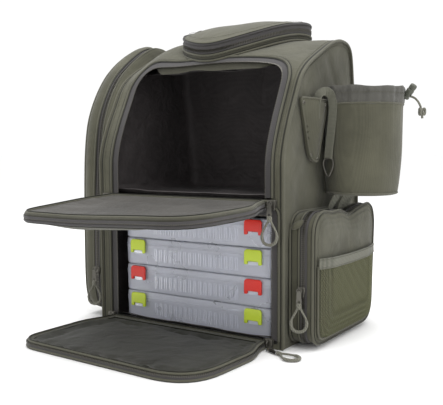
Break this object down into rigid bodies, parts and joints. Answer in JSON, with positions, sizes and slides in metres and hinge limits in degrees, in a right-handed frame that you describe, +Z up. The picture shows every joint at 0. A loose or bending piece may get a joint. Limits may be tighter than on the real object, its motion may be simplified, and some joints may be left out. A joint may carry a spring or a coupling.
{
  "type": "tackle backpack",
  "caption": "Olive framed fishing backpack with two drop-down front doors over an open bay and stacked tackle boxes, side and top pockets, bottle bag and padded harness.",
  "frame": {"origin": "centre of the body's base, on the floor", "axes": "+X to the viewer's right seen from the front, -Y the front with the doors, +Z up"},
  "size_m": [0.5245, 0.4864, 0.488],
  "materials": {
    "olive_fabric": "coated woven olive cloth, slight sheen",
    "dark_olive_fabric": "darker olive woven cloth",
    "grey_webbing": "grey woven tape",
    "lining": "matt black lining cloth",
    "pocket_mesh": "open knitted mesh",
    "clear_plastic": "translucent blue-grey moulded plastic",
    "lime_plastic": "semi-gloss moulded plastic",
    "red_plastic": "semi-gloss moulded plastic",
    "zip_metal": "dark grey painted zip hardware",
    "cord": "braided round cord",
    "hard_plastic": "matt dark olive moulded plastic"
  },
  "bodies": {
    "pack": {"front_frame": "olive_fabric", "top_panel": "olive_fabric", "back_panel": "dark_olive_fabric", "bottom_panel": "dark_olive_fabric", "left_side_panel": "olive_fabric", "right_side_panel": "olive_fabric", "compartment_divider": "lining", "left_compartment_wall": "olive_fabric", "right_pocket_wall": "olive_fabric", "top_pocket_wall": "olive_fabric", "bottle_bag": "olive_fabric", "bottle_bag_collar": "grey_webbing", "cord_lock": "hard_plastic", "drawcord": "cord", "drawcord_knot": "cord", "plier_sheath": "olive_fabric", "clip_strap": "dark_olive_fabric", "back_padding": "dark_olive_fabric", "shoulder_strap_left": "dark_olive_fabric", "shoulder_strap_right": "dark_olive_fabric", "strap_webbing_left": "grey_webbing", "strap_webbing_right": "grey_webbing", "ladder_lock_left": "hard_plastic", "ladder_lock_right": "hard_plastic", "haul_handle": "dark_olive_fabric"},
    "upper_door": {"upper_door": "olive_fabric"},
    "upper_door_flap": {"upper_door_flap": "olive_fabric"},
    "lower_door": {"lower_door": "olive_fabric"},
    "tackle_box_1": {"box_tray_1": "clear_plastic", "box_lid_1": "clear_plastic"},
    "box_latch_left_1": {"box_latch_left_1": "red_plastic"},
    "box_latch_right_1": {"box_latch_right_1": "red_plastic"},
    "tackle_box_2": {"box_tray_2": "clear_plastic", "box_lid_2": "clear_plastic"},
    "box_latch_left_2": {"box_latch_left_2": "lime_plastic"},
    "box_latch_right_2": {"box_latch_right_2": "lime_plastic"},
    "tackle_box_3": {"box_tray_3": "clear_plastic", "box_lid_3": "clear_plastic"},
    "box_latch_left_3": {"box_latch_left_3": "red_plastic"},
    "box_latch_right_3": {"box_latch_right_3": "red_plastic"},
    "tackle_box_4": {"box_tray_4": "clear_plastic", "box_lid_4": "clear_plastic"},
    "box_latch_left_4": {"box_latch_left_4": "lime_plastic"},
    "box_latch_right_4": {"box_latch_right_4": "lime_plastic"},
    "left_compartment_cover": {"left_compartment_cover": "olive_fabric"},
    "right_pocket_cover": {"right_pocket_cover": "olive_fabric", "mesh_pouch": "pocket_mesh"},
    "top_pocket_lid": {"top_pocket_lid": "olive_fabric"},
    "clip_ring": {"clip_ring": "zip_metal"},
    "upper_door_slider_right": {"upper_door_slider_right": "zip_metal"},
    "upper_door_pull_right": {"upper_door_pull_right": "cord"},
    "upper_door_slider_left": {"upper_door_slider_left": "zip_metal"},
    "lower_door_slider_right": {"lower_door_slider_right": "zip_metal"},
    "lower_door_pull_right": {"lower_door_pull_right": "cord"},
    "left_compartment_slider": {"left_compartment_slider": "zip_metal"},
    "left_compartment_pull": {"left_compartment_pull": "cord"},
    "right_pocket_slider": {"right_pocket_slider": "zip_metal"},
    "right_pocket_pull": {"right_pocket_pull": "cord"},
    "top_pocket_slider": {"top_pocket_slider": "zip_metal"},
    "top_pocket_pull": {"top_pocket_pull": "cord"}
  },
  "joints": [
    {"name": "upper_door_fold", "type": "hinge", "parent": "pack", "child": "upper_door", "pos_m": [0, -0.1215, 0.206], "axis": [1, 0, 0], "range_deg": [-95, 0]},
    {"name": "upper_door_bend", "type": "hinge", "parent": "upper_door", "child": "upper_door_flap", "pos_m": [0, -0.18142, 0.20076], "axis": [1, 0, 0], "range_deg": [-17, 0]},
    {"name": "lower_door_fold", "type": "hinge", "parent": "pack", "child": "lower_door", "pos_m": [0, -0.121, 0.0104], "axis": [1, 0, 0], "range_deg": [-90, 0]},
    {"name": "tackle_box_1_slide", "type": "slide", "parent": "pack", "child": "tackle_box_1", "axis": [0, -1, 0], "range_m": [0, 0.02]},
    {"name": "box_latch_left_1_open", "type": "hinge", "parent": "tackle_box_1", "child": "box_latch_left_1", "pos_m": [-0.1015, -0.1063, 0.1786], "axis": [-1, 0, 0], "range_deg": [0, 88]},
    {"name": "box_latch_right_1_open", "type": "hinge", "parent": "tackle_box_1", "child": "box_latch_right_1", "pos_m": [0.1135, -0.1063, 0.1786], "axis": [-1, 0, 0], "range_deg": [0, 88]},
    {"name": "tackle_box_2_slide", "type": "slide", "parent": "pack", "child": "tackle_box_2", "axis": [0, -1, 0], "range_m": [0, 0.175]},
    {"name": "box_latch_left_2_open", "type": "hinge", "parent": "tackle_box_2", "child": "box_latch_left_2", "pos_m": [-0.1015, -0.1063, 0.1356], "axis": [-1, 0, 0], "range_deg": [0, 88]},
    {"name": "box_latch_right_2_open", "type": "hinge", "parent": "tackle_box_2", "child": "box_latch_right_2", "pos_m": [0.1135, -0.1063, 0.1356], "axis": [-1, 0, 0], "range_deg": [0, 88]},
    {"name": "tackle_box_3_slide", "type": "slide", "parent": "pack", "child": "tackle_box_3", "axis": [0, -1, 0], "range_m": [0, 0.175]},
    {"name": "box_latch_left_3_open", "type": "hinge", "parent": "tackle_box_3", "child": "box_latch_left_3", "pos_m": [-0.1015, -0.1063, 0.0926], "axis": [-1, 0, 0], "range_deg": [0, 88]},
    {"name": "box_latch_right_3_open", "type": "hinge", "parent": "tackle_box_3", "child": "box_latch_right_3", "pos_m": [0.1135, -0.1063, 0.0926], "axis": [-1, 0, 0], "range_deg": [0, 88]},
    {"name": "tackle_box_4_slide", "type": "slide", "parent": "pack", "child": "tackle_box_4", "axis": [0, -1, 0], "range_m": [0, 0.175]},
    {"name": "box_latch_left_4_open", "type": "hinge", "parent": "tackle_box_4", "child": "box_latch_left_4", "pos_m": [-0.1015, -0.1063, 0.0496], "axis": [-1, 0, 0], "range_deg": [0, 88]},
    {"name": "box_latch_right_4_open", "type": "hinge", "parent": "tackle_box_4", "child": "box_latch_right_4", "pos_m": [0.1135, -0.1063, 0.0496], "axis": [-1, 0, 0], "range_deg": [0, 88]},
    {"name": "left_compartment_open", "type": "hinge", "parent": "pack", "child": "left_compartment_cover", "pos_m": [-0.19415, 0.1265, 0.2], "axis": [0, 0, -1], "range_deg": [0, 100]},
    {"name": "right_pocket_open", "type": "hinge", "parent": "pack", "child": "right_pocket_cover", "pos_m": [0.19615, 0.1073, 0.1], "axis": [0, 0, 1], "range_deg": [0, 110]},
    {"name": "top_pocket_open", "type": "hinge", "parent": "pack", "child": "top_pocket_lid", "pos_m": [0, 0.1003, 0.4596], "axis": [-1, 0, 0], "range_deg": [0, 100]},
    {"name": "clip_ring_swing", "type": "hinge", "parent": "pack", "child": "clip_ring", "pos_m": [0.188, -0.02, 0.2665], "axis": [1, 0, 0], "range_deg": [-28, 8]},
    {"name": "upper_door_slider_right_travel", "type": "slide", "parent": "pack", "child": "upper_door_slider_right", "axis": [0, 0, 1], "range_m": [0, 0.04]},
    {"name": "upper_door_pull_right_swing", "type": "hinge", "parent": "upper_door_slider_right", "child": "upper_door_pull_right", "pos_m": [0.154, -0.133, 0.204], "axis": [-1, 0, 0], "range_deg": [0, 50]},
    {"name": "upper_door_slider_left_travel", "type": "slide", "parent": "pack", "child": "upper_door_slider_left", "axis": [0, 0, 1], "range_m": [0, 0.04]},
    {"name": "lower_door_slider_right_travel", "type": "slide", "parent": "pack", "child": "lower_door_slider_right", "axis": [0, 0, 1], "range_m": [0, 0.11]},
    {"name": "lower_door_pull_right_swing", "type": "hinge", "parent": "lower_door_slider_right", "child": "lower_door_pull_right", "pos_m": [0.155, -0.134, 0.0019], "axis": [-0.342, -0.9397, 0], "range_deg": [0, 60]},
    {"name": "left_compartment_slider_travel", "type": "slide", "parent": "pack", "child": "left_compartment_slider", "axis": [0, 0, 1], "range_m": [0, 0.16]},
    {"name": "left_compartment_pull_swing", "type": "hinge", "parent": "left_compartment_slider", "child": "left_compartment_pull", "pos_m": [-0.184, -0.1245, 0.08], "axis": [-1, 0, 0], "range_deg": [0, 60]},
    {"name": "right_pocket_slider_travel", "type": "slide", "parent": "pack", "child": "right_pocket_slider", "axis": [0, 0, 1], "range_m": [0, 0.07]},
    {"name": "right_pocket_pull_swing", "type": "hinge", "parent": "right_pocket_slider", "child": "right_pocket_pull", "pos_m": [0.189, -0.1125, 0.084], "axis": [-1, 0, 0], "range_deg": [0, 60]},
    {"name": "top_pocket_slider_travel", "type": "slide", "parent": "pack", "child": "top_pocket_slider", "axis": [0, 1, 0], "range_m": [0, 0.028]},
    {"name": "top_pocket_pull_swing", "type": "hinge", "parent": "top_pocket_slider", "child": "top_pocket_pull", "pos_m": [-0.1135, 0.056, 0.4735], "axis": [1, 0, 0], "range_deg": [0, 80]}
  ],
  "couplings": [
    {"joint": "lower_door_fold", "follows": "upper_door_fold", "ratio": 0.94737},
    {"joint": "upper_door_bend", "follows": "upper_door_fold", "ratio": 0.17895}
  ]
}
